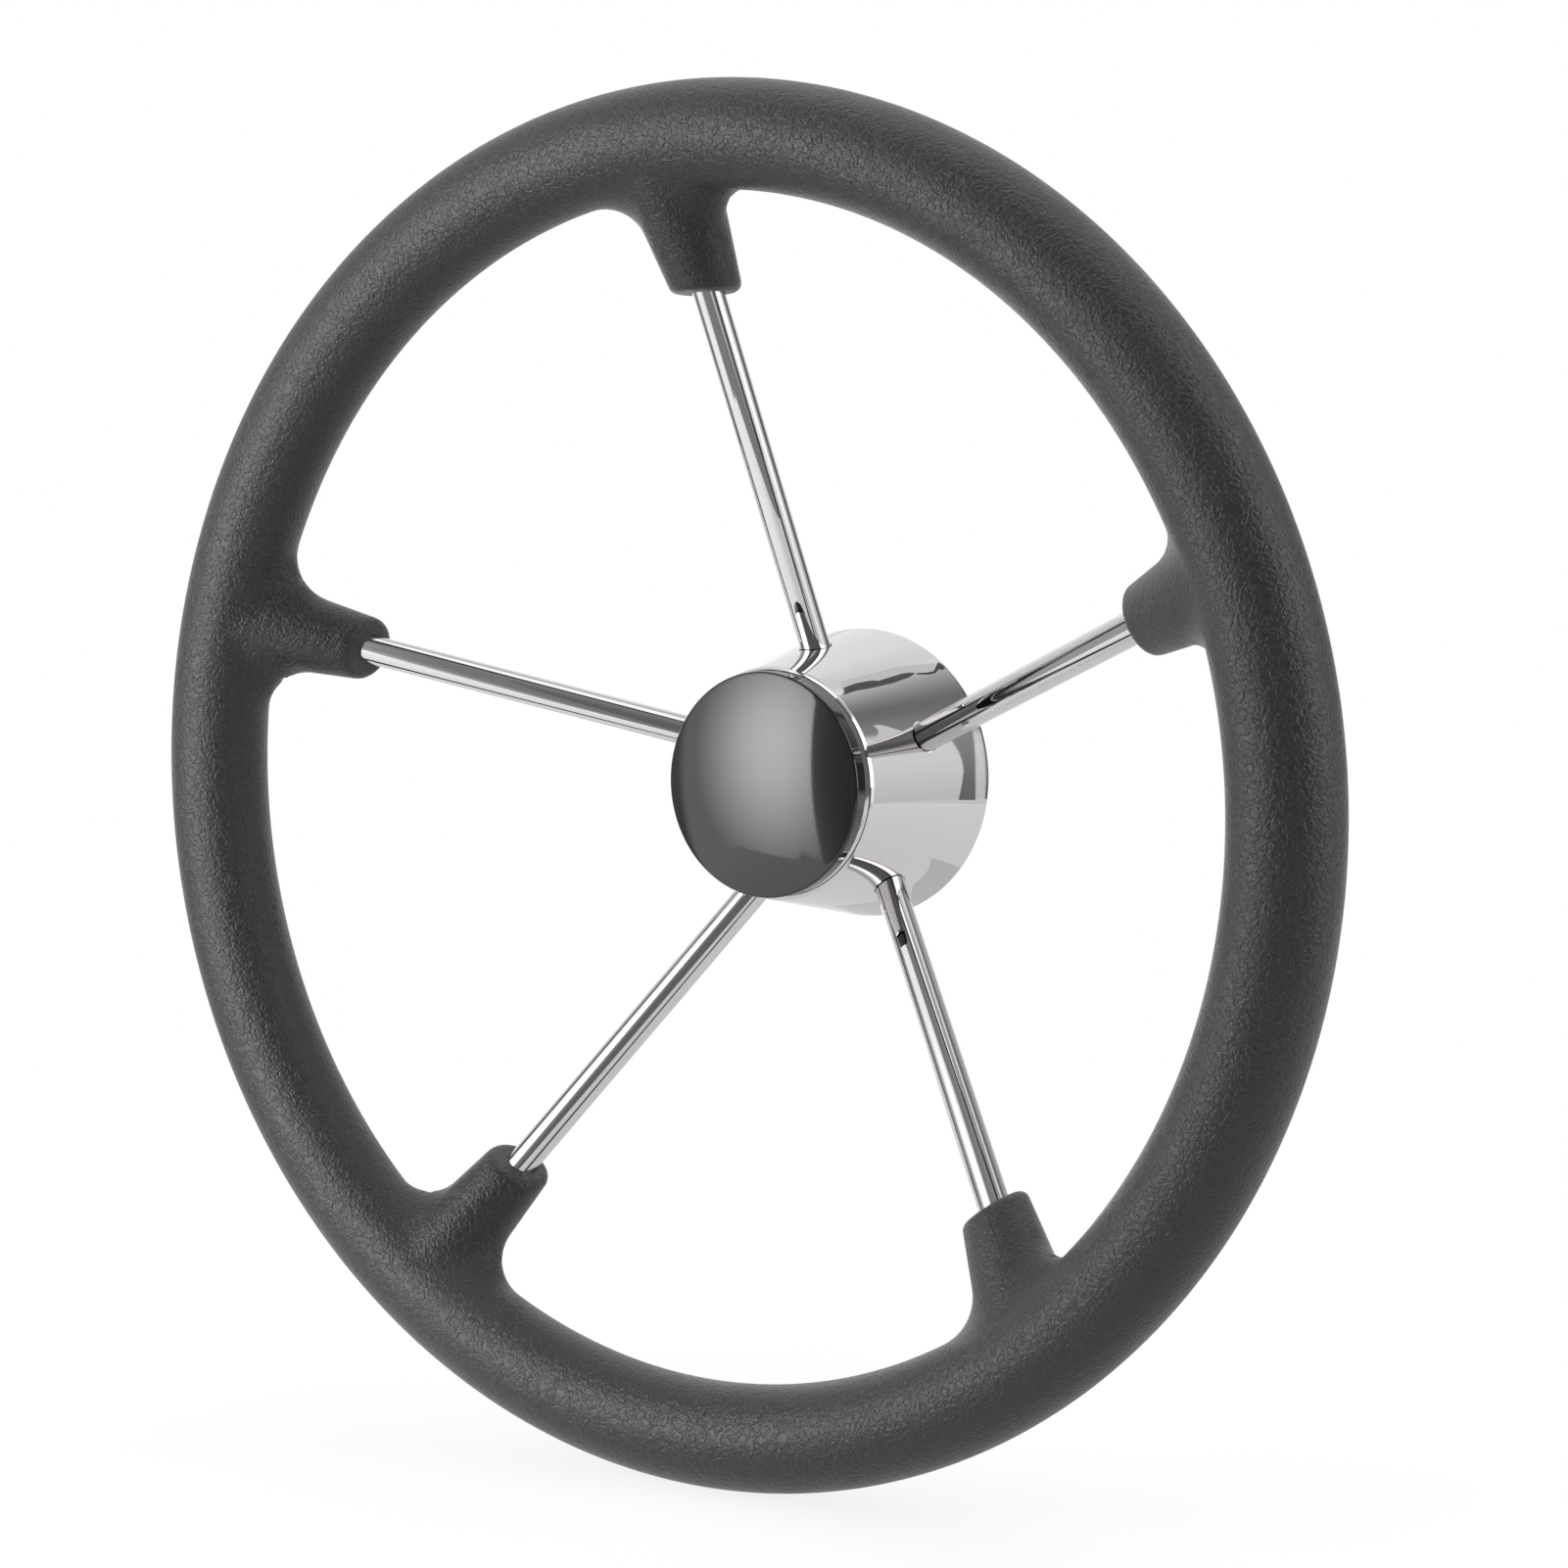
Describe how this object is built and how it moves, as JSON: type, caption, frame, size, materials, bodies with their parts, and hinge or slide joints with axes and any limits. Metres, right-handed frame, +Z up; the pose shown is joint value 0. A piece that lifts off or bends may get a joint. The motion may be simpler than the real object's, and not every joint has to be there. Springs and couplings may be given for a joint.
{
  "type": "boat steering wheel",
  "caption": "Dished boat steering wheel with a moulded grip over a steel ring, polished round spokes, a conical hub shell, a keyed taper boss and a push-in centre cap.",
  "frame": {"origin": "centre of the hub boss's rear face, on the shaft's axis", "axes": "+Z up with the first spoke upright, +Y along the shaft away from the person steering, -Y towards that person, +X to their right"},
  "size_m": [0.343, 0.0963, 0.343],
  "materials": {
    "grip_foam": "matt charcoal moulded skin with a fine leather-like grain",
    "ring_steel": "plain drawn bar, hidden in the grip",
    "spoke_steel": "mirror polished stainless bar",
    "boss_steel": "turned stainless, as machined",
    "shell_steel": "mirror polished stainless sheet",
    "cap_plastic": "high-gloss black moulding"
  },
  "bodies": {
    "wheel": {"grip": "grip_foam", "rim_ring": "ring_steel", "spoke_1": "spoke_steel", "spoke_2": "spoke_steel", "spoke_3": "spoke_steel", "spoke_4": "spoke_steel", "spoke_5": "spoke_steel", "hub_boss": "boss_steel", "hub_shell": "shell_steel"},
    "centre_cap": {"centre_cap": "cap_plastic"}
  },
  "joints": [
    {"name": "cap_pull", "type": "slide", "parent": "wheel", "child": "centre_cap", "axis": [0, -1, 0], "range_m": [0, 0.03]}
  ]
}
